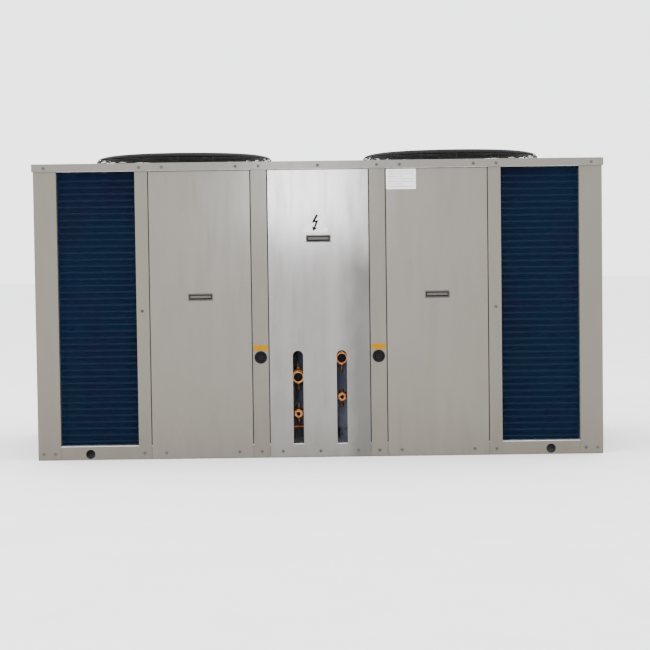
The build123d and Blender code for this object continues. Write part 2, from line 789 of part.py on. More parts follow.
# ---------------------------------------------------------------- refrigerant circuits
def valve_body(x, z, body_radius, stub_radius, socket_radius, stub_length):
    """A ball valve behind a pipe slot, with a socket that faces out of the slot."""
    stub_end = valve_front + stub_length
    body = along_y(body_radius, x, z, stub_end, valve_back)
    body = fillet(body.edges().filter_by(GeomType.CIRCLE), 3)
    body += along_y(stub_radius, x, z, valve_front, stub_end)
    body += upright(body_radius * 0.45, x, stem_y, z, z + body_radius + 8)
    body -= along_y(socket_radius, x, z, valve_front - 1, valve_front + 28)
    return body - upright(6 + running_gap, x, stem_y, z + body_radius - 6, z + body_radius + 9)


def valve_stem(x, z, body_radius):
    """The quarter-turn stem with its square key, inside the valve's neck."""
    low = z + body_radius - 5
    stem = upright(6, x, stem_y, low, low + 18)
    return stem + block(x - 3.5, x + 3.5, stem_y - 8, stem_y + 8, low + 18, low + 26)


def receiver(x):
    """A domed liquid receiver on a stand ring, with an outlet stub on top."""
    vessel = upright(receiver_radius, x, receiver_y, 80, receiver_top)
    vessel = fillet(vessel.edges().filter_by(GeomType.CIRCLE), 30)
    vessel += upright(44, x, receiver_y, pan_top, 90)
    return vessel + upright(12, x, receiver_y, receiver_top - 5, receiver_top + 8)


def make_circuits():
    lines, driers, bodies = [], [], []
    for name, circuit in circuits.items():
        side, suction_z, liquid_z = circuit["side"], circuit["suction_z"], circuit["liquid_z"]
        x, cx = side * slot_x, side * compressor_x
        bodies.append(valve_body(x, suction_z, 28, 21, suction_socket_radius, 31))
        bodies.append(valve_body(x, liquid_z, 17, 11, liquid_socket_radius, 36))
        save(f"suction_valve_stem_{name}", valve_stem(x, suction_z, 28))
        save(f"liquid_valve_stem_{name}", valve_stem(x, liquid_z, 17))

        port_y = compressor_y - shell_radius - 25
        suction = [(x, valve_back, suction_z), (x, suction_line_y, suction_z)]
        suction += [(cx, suction_line_y, suction_port_z), (cx, port_y, suction_port_z)]
        lines.append(tube(suction, suction_tube_radius, 45))

        gx = side * gas_header_x
        port_x = cx + side * (shell_radius + 14)
        discharge = [(port_x, compressor_y, discharge_port_z), (gx, compressor_y, discharge_port_z)]
        discharge += [(gx, gas_header_y, discharge_port_z), (gx, gas_header_y, gas_header_z)]
        lines.append(tube(discharge, discharge_tube_radius, 40))

        lx = side * liquid_header_x
        out = [(lx, liquid_header_y, liquid_header_z), (lx, liquid_header_y, drier_z)]
        out += [(lx, drier_y, drier_z), (side * 390, drier_y, drier_z)]
        lines.append(tube(out, liquid_tube_radius, 25))
        rx = circuit["receiver_x"]
        fill = [(side * 235, drier_y, drier_z), (rx, drier_y, drier_z)]
        lines.append(tube(fill + [(rx, receiver_y - receiver_radius, drier_z)], liquid_tube_radius, 20))
        high = receiver_top + 36
        back = [(rx, receiver_y, receiver_top + 8), (rx, receiver_y, high), (rx, liquid_line_y, high)]
        back += [(rx, liquid_line_y, liquid_z), (x, liquid_line_y, liquid_z), (x, valve_back, liquid_z)]
        lines.append(tube(back, liquid_tube_radius, 15))

        drier = along_x(31, drier_y, drier_z, side * 250, side * 375)
        drier = fillet(drier.edges().filter_by(GeomType.CIRCLE), 12)
        driers.append(drier + along_x(12, drier_y, drier_z, side * 235, side * 390))
    save("refrigerant_lines", *lines)
    save("filter_driers", *driers)
    save("liquid_receivers", *[receiver(circuit["receiver_x"]) for circuit in circuits.values()])
    save("service_valve_bodies", *bodies)


# ---------------------------------------------------------------- control box
def control_box():
    """An open tray behind the centre panel, flanged to the mullions."""
    tray = block(-box_half_width, box_half_width, box_front, box_back, box_bottom, box_top)
    tray -= block(
        -box_half_width + sheet,
        box_half_width - sheet,
        box_front - 1,
        box_back - sheet,
        box_bottom + sheet,
        box_top - sheet,
    )
    for side in (-1, 1):
        tray += block(
            side * box_half_width,
            side * mullion_outer,
            box_front,
            box_front + sheet,
            box_bottom,
            box_top,
        )
    return tray


def switchgear():
    """Devices on the box's back plate: breaker, contactors, terminals, transformer and controller."""
    plate_front = box_back - sheet - 2.0
    plate = block(-165, 165, plate_front, box_back - sheet, box_bottom + 20, box_top - 20)

    def device(x, z, width, height, depth):
        low, high = z - height / 2, z + height / 2
        body = block(x - width / 2, x + width / 2, plate_front - depth, plate_front, low, high)
        return fillet(body.edges().filter_by(Axis.Y), 2.5)

    breaker = device(breaker_x, breaker_z, 75, 130, plate_front - breaker_front)
    low, high = breaker_z - 26, breaker_z + 26
    breaker -= block(breaker_x - 7, breaker_x + 7, breaker_front - 1, breaker_front + 24, low, high)
    devices = [plate, breaker]
    devices += [device(x, 1000, 52, 86, 78) for x in (-20, 45)]
    devices += [device(118, 1005, 70, 90, 60)]
    devices += [device(x, 860, 45, 80, 75) for x in (-135, -80, -25)]
    devices += [device(85, 860, 130, 90, 32)]
    devices += [device(-150 + 25 * n, 640, 22, 62, 46) for n in range(13)]
    for z in (930, 760):
        devices.append(device(0, z, 320, 32, 40))
    return devices


def breaker_lever():
    """The main breaker's toggle, up when on."""
    pivot_y = breaker_front + 12
    lever = along_x(9, pivot_y, breaker_z, breaker_x - 6, breaker_x + 6)
    arm = block(breaker_x - 5, breaker_x + 5, -24, 0, -4, 4)
    return lever + Pos(0, pivot_y, breaker_z) * Rot(-35, 0, 0) * arm


def make_controls():
    save("control_box", control_box())
    save("switchgear", *switchgear())
    save("breaker_lever", breaker_lever())


# ---------------------------------------------------------------- build
os.makedirs("parts", exist_ok=True)
make_base()
make_frame()
make_doors()
make_screws()
make_coils()
make_fans()
make_compressors()
make_circuits()
make_controls()
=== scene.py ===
# %% [markdown]
# # A scroll condensing unit
# The cabinet is folded sheet steel, powder coated in a warm grey. Two fans blow upwards through
# wire guards, blue finned coils wrap both ends, and the compressors stand in the middle.
# The CAD model gives every place, so this file only adds finer pieces and finishes.

# %% Tools and the frame
import json
import math

import bpy
from mathutils import Matrix, Vector


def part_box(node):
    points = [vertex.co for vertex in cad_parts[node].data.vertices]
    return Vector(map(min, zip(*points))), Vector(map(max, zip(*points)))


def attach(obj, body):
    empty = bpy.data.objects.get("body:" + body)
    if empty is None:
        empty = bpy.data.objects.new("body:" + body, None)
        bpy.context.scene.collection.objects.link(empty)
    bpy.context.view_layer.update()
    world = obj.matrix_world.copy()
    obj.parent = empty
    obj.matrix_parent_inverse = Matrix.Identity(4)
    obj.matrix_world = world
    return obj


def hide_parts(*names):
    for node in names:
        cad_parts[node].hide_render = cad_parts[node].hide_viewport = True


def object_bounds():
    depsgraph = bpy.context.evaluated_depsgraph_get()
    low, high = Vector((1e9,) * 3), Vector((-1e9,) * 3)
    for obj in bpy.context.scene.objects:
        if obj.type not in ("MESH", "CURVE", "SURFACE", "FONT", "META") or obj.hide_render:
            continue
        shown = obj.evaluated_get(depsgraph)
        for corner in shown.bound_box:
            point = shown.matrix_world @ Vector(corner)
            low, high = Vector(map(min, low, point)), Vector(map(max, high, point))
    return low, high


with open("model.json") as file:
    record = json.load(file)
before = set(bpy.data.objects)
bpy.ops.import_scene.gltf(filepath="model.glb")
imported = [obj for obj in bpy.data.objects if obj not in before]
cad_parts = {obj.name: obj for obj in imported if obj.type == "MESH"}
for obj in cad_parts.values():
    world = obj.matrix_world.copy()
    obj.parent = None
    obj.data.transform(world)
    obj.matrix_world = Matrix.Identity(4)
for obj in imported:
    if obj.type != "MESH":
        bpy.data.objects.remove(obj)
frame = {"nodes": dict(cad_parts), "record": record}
nodes = frame["nodes"]
cad_box = [list(corner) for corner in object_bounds()]
front_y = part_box("left_access_panel")[0].y
print(len(nodes), "CAD nodes; the whole unit spans", cad_box)

# %% [markdown]
# ## Camera
# The unit is seen from well back with a long lens, a little below its top edge, so the fan guards
# just show over the cover. The camera looks slightly down and leans by less than a degree.

# %% Camera
camera_distance, camera_height = 7.0, 0.848
look_down, lean, swing = (math.radians(angle) for angle in (2.726, 0.7473, 0.178))
eye = Vector((0.0, front_y - camera_distance, camera_height))
camera = bpy.data.cameras.new("camera")
camera.lens = 100.05
camera.sensor_width = 36
camera_object = bpy.data.objects.new("camera", camera)
bpy.context.scene.collection.objects.link(camera_object)
camera_object.location = eye
tilt = Matrix.Rotation(math.pi / 2 - look_down, 3, "X") @ Matrix.Rotation(-lean, 3, "Z")
camera_object.rotation_euler = (Matrix.Rotation(-swing, 3, "Z") @ tilt).to_euler()
bpy.context.scene.camera = camera_object
print("camera at", [round(value, 3) for value in eye])

# %% [markdown]
# ## Floor and light
# A pale floor and a pale surround keep attention on the unit. One tall soft light stands behind
# the camera, because the middle panel mirrors it: that gives the bright haze on the glossy paint.
# A high light from the front left models the edges.

# %% Floor, surround and lights
bpy.ops.object.select_all(action="DESELECT")
bpy.ops.mesh.primitive_plane_add(size=60, location=(0, 0, 0))
floor = bpy.context.object
floor.name = "floor"

world = bpy.data.worlds.new("studio")
world.use_nodes = True
bpy.context.scene.world = world
surround = world.node_tree.nodes["Background"].inputs
surround["Color"].default_value = (0.97, 0.98, 1.0, 1)
surround["Strength"].default_value = 3.2



def soft_light(name, place, aim, width, height, watts, tint):
    """A rectangular area light that faces a point."""
    lamp = bpy.data.lights.new(name, "AREA")
    lamp.shape = "RECTANGLE"
    lamp.size, lamp.size_y = width, height
    lamp.energy = watts
    lamp.color = tint
    holder = bpy.data.objects.new(name, lamp)
    bpy.context.scene.collection.objects.link(holder)
    holder.location = place
    holder.rotation_euler = (Vector(aim) - Vector(place)).to_track_quat("-Z", "Y").to_euler()


soft_light("window", (-0.15, -10.5, 1.50), (0, 0, 1.0), 1.0, 1.15, 300, (0.94, 0.93, 1.0))
soft_light("high_left", (-4.5, -5.0, 5.0), (0, 0, 0.6), 3.0, 3.0, 200, (1.0, 0.97, 0.92))
soft_light("overhead", (0.5, 0.5, 5.5), (0, 0, 1.0), 4.0, 3.0, 160, (1.0, 0.98, 0.95))
print(len(bpy.data.lights), "lights")

# %% [markdown]
# ## Shader arithmetic
# A finish is a web of nodes. Writing it as sums and products keeps it readable, so a small class
# wraps a node's output and turns plain arithmetic into Math nodes.


# %% Signals and finishes
class Signal:
    """One output of a finish's nodes, which takes part in arithmetic."""

    def __init__(self, finish, output):
        self.finish = finish
        self.output = output

    def math(self, operation, first, second):
        return self.finish.node("ShaderNodeMath", {"operation": operation}, {0: first, 1: second})

    def __add__(self, other):
        return self.math("ADD", self, other)

    def __radd__(self, other):
        return self.math("ADD", other, self)

    def __sub__(self, other):
        return self.math("SUBTRACT", self, other)

    def __rsub__(self, other):
        return self.math("SUBTRACT", other, self)

    def __mul__(self, other):
        return self.math("MULTIPLY", self, other)

    def __rmul__(self, other):
        return self.math("MULTIPLY", other, self)


class Finish:
    """A material whose nodes are added one call at a time."""

    def __init__(self, name, shine=0.5, **constants):
        self.material = bpy.data.materials.new(name)
        self.material.use_nodes = True
        self.tree = self.material.node_tree
        self.shader = self.tree.nodes["Principled BSDF"]
        self.shader.inputs["Specular IOR Level"].default_value = shine
        for label, value in constants.items():
            self.shader.inputs[label.replace("_", " ").title()].default_value = value
        self.place = self.node("ShaderNodeTexCoord", {}, {}, "Object")

    def node(self, kind, settings, sockets, output=0):
        """Adds one node: its settings first, then the values or links of its sockets."""
        made = self.tree.nodes.new(kind)
        stops = settings.get("stops")
        for name, value in settings.items():
            if name != "stops":
                setattr(made, name, value)
        if stops:
            ramp = made.color_ramp
            while len(ramp.elements) < len(stops):
                ramp.elements.new(1.0)
            for element, (position, shade) in zip(ramp.elements, stops):
                element.position = position
                element.color = (*shade, 1) if isinstance(shade, tuple) else (shade, shade, shade, 1)
        for name, value in sockets.items():
            if isinstance(value, Signal):
                self.tree.links.new(value.output, made.inputs[name])
            else:
                made.inputs[name].default_value = value
        return Signal(self, made.outputs[output])

    def stretched(self, x, y, z):
        """The place on the surface, scaled along each axis."""
        return self.node("ShaderNodeMapping", {}, {"Vector": self.place, "Scale": (x, y, z)})

    def noise(self, scale, detail=3.0, rough=0.5, place=None):
        """Soft random blotches. A larger scale makes them smaller."""
        sockets = {"Vector": place or self.place, "Scale": scale, "Detail": detail, "Roughness": rough}
        return self.node("ShaderNodeTexNoise", {}, sockets)

    def ramp(self, value, *stops):
        """Turns a value into a shade by its stops of place and shade."""
        return self.node("ShaderNodeValToRGB", {"stops": stops}, {"Fac": value})

    def axis(self, name):
        """The place along X, Y or Z, in metres."""
        return self.node("ShaderNodeSeparateXYZ", {}, {"Vector": self.place}, name)

    def blend(self, factor, first, second):
        """A colour between two colours."""
        sides = {}
        for socket, colour in ((6, first), (7, second)):
            sides[socket] = colour if isinstance(colour, Signal) else (*colour, 1)
        return self.node("ShaderNodeMix", {"data_type": "RGBA"}, {0: factor, **sides}, 2)

    def feed(self, label, value):
        """Links a signal to one of the shader's inputs."""
        self.tree.links.new(value.output, self.shader.inputs[label])

    def bump(self, height, distance):
        """Tilts the surface by the slope of a height."""
        sockets = {"Height": height, "Distance": distance, "Strength": 1.0}
        self.feed("Normal", self.node("ShaderNodeBump", {}, sockets))


print("signals and finishes are ready")

# %% [markdown]
# ## Powder-coated sheet
# Powder coat is even in its own colour, with a fine orange peel and a little dust towards the floor. The
# large panels are not quite flat, so a slow, shallow swell bends what they mirror. The gloss differs
# from sheet to sheet. Pale clouds are painted into every sheet's colour as a painted sheen, strongest
# on the middle panel, and that panel's lower right corner is painted darker, a painted reflection of
# something dark in front of the unit.


# %% Cabinet paints
finishes = {}


def sheet_paint(name, tone, gloss, swell, painted_sheen, lacquer, dark_reflection=0.0):
    """Powder coat on sheet steel. Pale clouds are painted in as a painted sheen, and the lower right corner
    is painted darker as a painted reflection.
    """
    paint = Finish(name, metallic=0.0, coat_roughness=0.12)
    peel = paint.noise(520.0, 2.0)
    waves = paint.noise(2.2, 3.0, 0.6, paint.stretched(1.0, 1.0, 0.55))
    cloud = paint.noise(3.6, 5.0, 0.62, paint.stretched(1.3, 1.3, 0.7))
    smear = paint.noise(22.0, 6.0, 0.7, paint.stretched(1.0, 1.0, 0.12))
    low = paint.ramp(paint.axis("Z"), (0.0, 1.0), (0.28, 0.0))
    pale = tuple(min(1.0, value * 1.16 + 0.02) for value in tone)
    dusty = tuple(value * shade for value, shade in zip(tone, (0.84, 0.80, 0.74)))
    clouds = paint.ramp(cloud, (0.42, 0.0), (0.62, 1.0))
    # Painted sheen: pale clouds are painted into the colour where the glossy paint mirrors a bright light.
    colour = paint.blend(clouds * painted_sheen, tone, pale)
    grime = paint.ramp(smear, (0.45, 0.0), (0.75, 1.0))
    colour = paint.blend(low * (grime * 0.45 + 0.12), colour, dusty)
    # Painted reflection: the lower right corner is painted darker, for something dark mirrored in the panel,
    # and loses most of its coat.
    if dark_reflection:
        across = paint.ramp(paint.axis("X") + cloud * 0.16, (0.16, 0.0), (0.24, 1.0))
        below = paint.ramp(paint.axis("Z") + cloud * 0.20, (0.84, 1.0), (0.95, 0.0))
        reflection_patch = across * below
        colour = paint.blend(reflection_patch * dark_reflection, colour, tuple(value * 0.70 for value in tone))
        lacquer = lacquer - reflection_patch * (lacquer * 0.8)
    paint.feed("Base Color", colour)
    paint.feed("Roughness", gloss + clouds * 0.10 + grime * 0.06 + low * 0.08)
    paint.feed("Coat Weight", lacquer * (1.0 - grime * 0.5))
    paint.bump(waves * swell + peel * 0.00004, 1.0)
    finishes[name] = paint


body_tone = (0.078, 0.069, 0.050)
# Each sheet gets its tone, gloss, swell, painted sheen and coat; the middle panel also gets the painted dark
# reflection.
sheet_paint("post_paint", body_tone, 0.42, 0.0006, 0.25, 0.10)
sheet_paint("panel_paint", body_tone, 0.36, 0.0026, 0.35, 0.22)
sheet_paint("painted_glare_paint", (0.076, 0.069, 0.058), 0.36, 0.0115, 1.0, 0.85, dark_reflection=1.0)
sheet_paint("cover_paint", (0.086, 0.078, 0.061), 0.42, 0.0008, 0.25, 0.10)
print("paints:", ", ".join(finishes))

# %% [markdown]
# ## Bare metals
# Galvanised sheet shows pale crystals of zinc, copper tube darkens unevenly as it ages, and brass
# is a little duller and yellower. Each takes its pattern from noise of the right scale.


# %% Metal finishes
def galvanised():
    """Zinc-coated sheet: pale crystals and dull stains."""
    zinc = Finish("galvanised", metallic=0.85)
    cells = {"Vector": zinc.place, "Scale": 55.0}
    crystal = zinc.node("ShaderNodeTexVoronoi", {"feature": "F1"}, cells, "Color")
    shade = zinc.node("ShaderNodeSeparateColor", {}, {"Color": crystal}, "Red")
    stain = zinc.ramp(zinc.noise(5.0, 5.0), (0.4, 0.0), (0.75, 1.0))
    colour = zinc.blend(shade, (0.42, 0.43, 0.45), (0.62, 0.63, 0.65))
    zinc.feed("Base Color", zinc.blend(stain * 0.5, colour, (0.40, 0.39, 0.36)))
    zinc.feed("Roughness", 0.32 + shade * 0.16 + stain * 0.18)
    finishes["galvanised"] = zinc


def aged_metal(name, bright, dull, rough, scale, metallic=1.0):
    """Metal that has dulled in patches, with fine level scratches."""
    metal = Finish(name, metallic=metallic)
    patina = metal.ramp(metal.noise(scale, 5.0, 0.6), (0.38, 0.0), (0.72, 1.0))
    scratch = metal.noise(240.0, 3.0, 0.6, metal.stretched(1.0, 1.0, 0.2))
    metal.feed("Base Color", metal.blend(patina, bright, dull))
    metal.feed("Roughness", rough + patina * 0.22 + scratch * 0.10)
    metal.bump(scratch, 0.00008)
    finishes[name] = metal


galvanised()
aged_metal("copper", (0.34, 0.12, 0.055), (0.14, 0.05, 0.03), 0.34, 26.0)
aged_metal("valve_brass", (0.30, 0.13, 0.05), (0.10, 0.045, 0.02), 0.42, 60.0)
aged_metal("steel", (0.060, 0.056, 0.050), (0.030, 0.028, 0.025), 0.48, 60.0, 0.4)
aged_metal("cast_iron", (0.26, 0.26, 0.27), (0.14, 0.14, 0.14), 0.45, 90.0, 0.7)
aged_metal("aluminium_cast", (0.74, 0.74, 0.75), (0.55, 0.55, 0.56), 0.34, 70.0)
aged_metal("winding", (0.60, 0.26, 0.13), (0.34, 0.13, 0.07), 0.34, 160.0, 0.8)
print("metals:", ", ".join(name for name in finishes if not name.endswith("paint")))

# %% [markdown]
# ## Blue fins, black wire, rubber and plastics
# The fins wear a blue epoxy film over bright aluminium, so they shine but stay dark. Wire and
# blades are black powder coat with dusty patches, and rubber and moulded plastic are duller.


# %% Coatings, rubber and plastics
def coated(name, tone, worn, rough, scale, shine=0.35):
    """Paint, film, rubber or plastic with worn patches and a fine grain."""
    coat = Finish(name, shine, metallic=0.0)
    dust = coat.ramp(coat.noise(scale, 5.0, 0.65), (0.45, 0.0), (0.80, 1.0))
    speck = coat.noise(700.0, 2.0)
    coat.feed("Base Color", coat.blend(dust, tone, worn))
    coat.feed("Roughness", rough + dust * 0.18 + speck * 0.05)
    coat.bump(speck, 0.0001)
    finishes[name] = coat


coated("coil_fins", (0.0048, 0.032, 0.092), (0.022, 0.020, 0.078), 0.52, 5.0, 0.22)
coated("film_tube", (0.0020, 0.016, 0.040), (0.005, 0.018, 0.044), 0.55, 30.0, 0.16)
coated("vessel_paint", (0.095, 0.110, 0.155), (0.17, 0.18, 0.23), 0.40, 16.0)
coated("guard_wire", (0.003, 0.003, 0.003), (0.012, 0.011, 0.010), 0.45, 60.0, 0.2)
coated("fan_blade", (0.016, 0.016, 0.018), (0.06, 0.057, 0.052), 0.42, 12.0)
coated("motor_black", (0.022, 0.022, 0.024), (0.07, 0.067, 0.06), 0.48, 30.0)
coated("compressor_paint", (0.010, 0.011, 0.014), (0.03, 0.032, 0.036), 0.40, 14.0)
coated("drier_paint", (0.010, 0.045, 0.13), (0.03, 0.07, 0.15), 0.40, 24.0)
coated("rubber", (0.003, 0.003, 0.004), (0.008, 0.008, 0.008), 0.75, 90.0, 0.15)
# The valve balls are painted near-black: a painted shade deep in their sockets, not the bright ball's colour.
coated("socket_shade_black", (0.003, 0.003, 0.004), (0.008, 0.008, 0.008), 0.75, 90.0, 0.15)
coated("handle_frame", (0.052, 0.047, 0.041), (0.064, 0.059, 0.052), 0.70, 60.0, 0.2)
coated("handle_plastic", (0.052, 0.047, 0.042), (0.07, 0.064, 0.058), 0.60, 60.0, 0.25)
coated("yellow_label", (0.24, 0.115, 0.0), (0.19, 0.095, 0.0), 0.80, 70.0, 0.1)
coated("white_label", (0.58, 0.565, 0.56), (0.50, 0.485, 0.475), 0.75, 50.0, 0.2)
coated("ink", (0.004, 0.004, 0.005), (0.010, 0.010, 0.010), 0.90, 80.0, 0.05)
coated("device_plastic", (0.22, 0.22, 0.20), (0.15, 0.15, 0.14), 0.48, 40.0)
coated("lever_plastic", (0.02, 0.02, 0.02), (0.06, 0.06, 0.06), 0.40, 80.0)
coated("floor", (0.86, 0.86, 0.86), (0.80, 0.80, 0.80), 0.75, 3.0)
print(len(finishes), "finishes")

# %% [markdown]
# ## Finishes on the CAD nodes
# Most nodes keep their CAD shape, so they only need the right finish. The middle panel gets the
# glossier paint, with the strongest painted sheen and the painted dark reflection.

# %% Dress the CAD nodes
special = {
    "control_access_panel": "painted_glare_paint",
    "left_access_panel": "panel_paint",
    "right_access_panel": "panel_paint",
    "rear_panels": "panel_paint",
}
for part in frame["record"]["subparts"]:
    wanted = special.get(part["node"], part["material_slot"])
    finish = finishes["post_paint" if wanted == "cabinet_paint" else wanted]
    skin = nodes[part["node"]].data.materials
    skin.clear()
    skin.append(finish.material)
floor.data.materials.append(finishes["floor"].material)

# %% [markdown]
# ## Ways of working
# Pieces are made as by hand: a primitive is placed, shaped in edit mode and finished. These few
# helpers select by place, copy a modelled piece to many places and hand it to its body.


# %% Modelling helpers
def fresh():
    """Leaves edit mode with nothing selected."""
    if bpy.context.object and bpy.context.object.mode != "OBJECT":
        bpy.ops.object.mode_set(mode="OBJECT")
    bpy.ops.object.select_all(action="DESELECT")


def pick(piece):
    """Selects one object alone and makes it the active one."""
    fresh()
    piece.select_set(True)
    bpy.context.view_layer.objects.active = piece


def settle(piece):
    """Bakes the piece's place, turn and size into its mesh."""
    pick(piece)
    bpy.ops.object.transform_apply(location=True, rotation=True, scale=True)


def copies(piece, places):
    """Joins one copy of the piece's mesh at each place, and drops the pattern piece."""
    settle(piece)
    made = []
    for place in places:
        twin = bpy.data.objects.new(piece.name, piece.data.copy())
        bpy.context.scene.collection.objects.link(twin)
        twin.data.transform(place)
        if place.determinant() < 0:
            twin.data.flip_normals()
        made.append(twin)
    bpy.data.objects.remove(piece)
    return joined(made)


def joined(pieces):
    """One object from several."""
    fresh()
    for piece in pieces:
        piece.select_set(True)
    bpy.context.view_layer.objects.active = pieces[0]
    if len(pieces) > 1:
        bpy.ops.object.join()
    return bpy.context.object


def hand_over(piece, name, body, finish, replaced=(), smooth=30):
    """Names, smooths and dresses a piece, and lets it ride on its body."""
    settle(piece)
    piece.name = piece.data.name = name
    if smooth:
        bpy.ops.object.shade_smooth_by_angle(angle=math.radians(smooth))
    piece.data.materials.clear()
    piece.data.materials.append(finishes[finish].material)
    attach(piece, body)
    if replaced:
        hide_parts(*replaced)
    print(name, len(piece.data.polygons), "faces")


def tidy_shell(piece):
    """Merges doubled points and turns every face outwards."""
    pick(piece)
    bpy.ops.object.mode_set(mode="EDIT")
    bpy.ops.mesh.select_all(action="SELECT")
    bpy.ops.mesh.remove_doubles(threshold=1e-5)
    bpy.ops.mesh.normals_make_consistent(inside=False)
    bpy.ops.object.mode_set(mode="OBJECT")
    return piece


def choose(piece, kind, test):
    """Selects the points, edges or faces of a mesh in edit mode that pass a test on their place."""
    bpy.ops.mesh.select_mode(type=kind)
    bpy.ops.mesh.select_all(action="DESELECT")
    bpy.ops.object.mode_set(mode="OBJECT")
    parts = {"VERT": piece.data.vertices, "EDGE": piece.data.edges, "FACE": piece.data.polygons}[kind]
    points = piece.data.vertices
    for part in parts:
        if kind == "VERT":
            middle = part.co
        elif kind == "EDGE":
            middle = (points[part.vertices[0]].co + points[part.vertices[1]].co) / 2
        else:
            middle = part.center
        part.select = bool(test(middle))
    bpy.ops.object.mode_set(mode="EDIT")


def applied(piece, kind, **settings):
    """Adds a modifier with its settings and applies it."""
    pick(piece)
    modifier = piece.modifiers.new(kind.lower(), kind)
    for name, value in settings.items():
        setattr(modifier, name, value)
    bpy.ops.object.modifier_apply(modifier=modifier.name)
    return piece


print("helpers are ready")

# %% [markdown]
# ## Coil fins
# A coil is hundreds of thin plates on a tube bundle. One plate is modelled and copied along the
# front leg, round the bend, along the end wall, round the second bend and along the rear leg.

# %% Where the plates stand
fin_low, fin_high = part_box("coil_right_fins")
leg_depth = 0.044
bend_inner = 0.030
bend_outer = bend_inner + leg_depth
bend_x = fin_high.x - bend_outer
bend_y = fin_high.y - bend_outer
fin_pitch = 0.0023
bend_mid = bend_inner + leg_depth / 2


def fin_places():
    """One place per plate, for the right coil, from the front leg to the rear leg."""
    places = []
    leg_y = fin_high.y - leg_depth / 2
    for n in range(int((bend_x - fin_low.x) / fin_pitch)):
        x = fin_low.x + fin_pitch * (n + 0.5)
        places.append(Matrix.Translation((x, -leg_y, 0)))
        places.append(Matrix.Translation((x, leg_y, 0)))
    bend_plates = int(math.pi / 2 * bend_mid / fin_pitch)
    for n in range(bend_plates):
        turn = -math.pi / 2 * (n + 0.5) / bend_plates
        for side in (-1, 1):
            spin = Matrix.Rotation(side * turn, 4, "Z")
            corner = Matrix.Translation((bend_x, side * bend_y, 0))
            places.append(corner @ spin @ Matrix.Translation((0, side * bend_mid, 0)))
    quarter = Matrix.Rotation(math.pi / 2, 4, "Z")
    for n in range(int(2 * bend_y / fin_pitch)):
        y = -bend_y + fin_pitch * (n + 0.5)
        places.append(Matrix.Translation((fin_high.x - leg_depth / 2, y, 0)) @ quarter)
    return places


right_places = fin_places()
flip = Matrix.Diagonal((-1, 1, 1, 1))
print(len(right_places), "plates on each coil")

# %% [markdown]
# One plate is a grid with a few folds, pressed into a shallow zigzag so that air swirls past it,
# and then thickened. It has few faces because it is repeated over a thousand times.


# %% Fin plates
fold_height = 0.0008
plate_thickness = 0.00022


def fin_plate():
    """A corrugated plate, its face towards X and its depth along Y."""
    fresh()
    middle = (0, 0, (fin_low.z + fin_high.z) / 2)
    bpy.ops.mesh.primitive_grid_add(x_subdivisions=6, y_subdivisions=1, size=1, location=middle)
    plate = bpy.context.object
    plate.name = "plate"
    plate.scale = (leg_depth - 0.0006, fin_high.z - fin_low.z - 0.001, 1)
    plate.rotation_euler = Matrix(((0, 0, 1), (1, 0, 0), (0, 1, 0))).to_euler()
    settle(plate)
    bpy.ops.object.mode_set(mode="EDIT")
    crests = [leg_depth * step for step in (-1 / 3, 0, 1 / 3)]
    choose(plate, "VERT", lambda p: min(abs(p.y - crest) for crest in crests) < 0.003)
    bpy.ops.transform.translate(value=(fold_height, 0, 0))
    return applied(plate, "SOLIDIFY", thickness=plate_thickness, offset=0)


for side, mirrored in (("right", Matrix.Identity(4)), ("left", flip)):
    plates = copies(fin_plate(), [mirrored @ place for place in right_places])
    name = f"coil_{side}_plates"
    hand_over(plates, name, "cabinet", "coil_fins", [f"coil_{side}_fins"], 0)

# %% [markdown]
# ## Coil tubes
# Two rows of tubes run through the plates all the way round. From the side one sees them as faint
# level stripes between the plates. One tube is a ring of points that is pushed and spun along.


# %% Tubes through the plates
tube_pitch = 0.0254
tube_count = 41
tube_depths = (0.011, 0.033)


def coil_tube(depth):
    """A tube through the right coil, this deep behind the outer face."""
    radius = bend_outer - depth
    fresh()
    start = (fin_low.x - 0.001, -(bend_y + radius), fin_low.z + tube_pitch / 2)
    facing = (0, math.pi / 2, 0)
    bpy.ops.mesh.primitive_circle_add(vertices=8, radius=0.0048, location=start, rotation=facing)
    run = bpy.context.object
    run.name = "coil_tube"
    settle(run)
    bpy.ops.object.mode_set(mode="EDIT")
    bpy.ops.mesh.select_all(action="SELECT")
    push = bpy.ops.mesh.extrude_region_move
    push(TRANSFORM_OT_translate={"value": (bend_x - start[0], 0, 0)})
    bpy.ops.mesh.spin(steps=7, angle=math.pi / 2, center=(bend_x, -bend_y, 0), axis=(0, 0, -1))
    push(TRANSFORM_OT_translate={"value": (0, 2 * bend_y, 0)})
    bpy.ops.mesh.spin(steps=7, angle=math.pi / 2, center=(bend_x, bend_y, 0), axis=(0, 0, -1))
    push(TRANSFORM_OT_translate={"value": (start[0] - bend_x, 0, 0)})
    bpy.ops.object.mode_set(mode="OBJECT")
    return tidy_shell(run)


tube_rows = [Matrix.Translation((0, 0, tube_pitch * n)) for n in range(tube_count)]
for side, mirrored in (("right", Matrix.Identity(4)), ("left", flip)):
    runs = [copies(coil_tube(depth), [mirrored @ row for row in tube_rows]) for depth in tube_depths]
    hand_over(joined(runs), f"coil_{side}_tubes", "cabinet", "film_tube")

# %% [markdown]
# ## Wire guards
# A guard is one basket of bent wires welded to rings. A spoke is a line that rises from the foot
# and rounds over to the middle, so a bevelled curve makes it best; the rings are thin hoops.


# %% Bent wire
def meshed(curve):
    """An object with the mesh that a curve gives."""
    piece = bpy.data.objects.new(curve.name, curve)
    bpy.context.scene.collection.objects.link(piece)
    pick(piece)
    bpy.ops.object.convert(target="MESH")
    return bpy.context.object


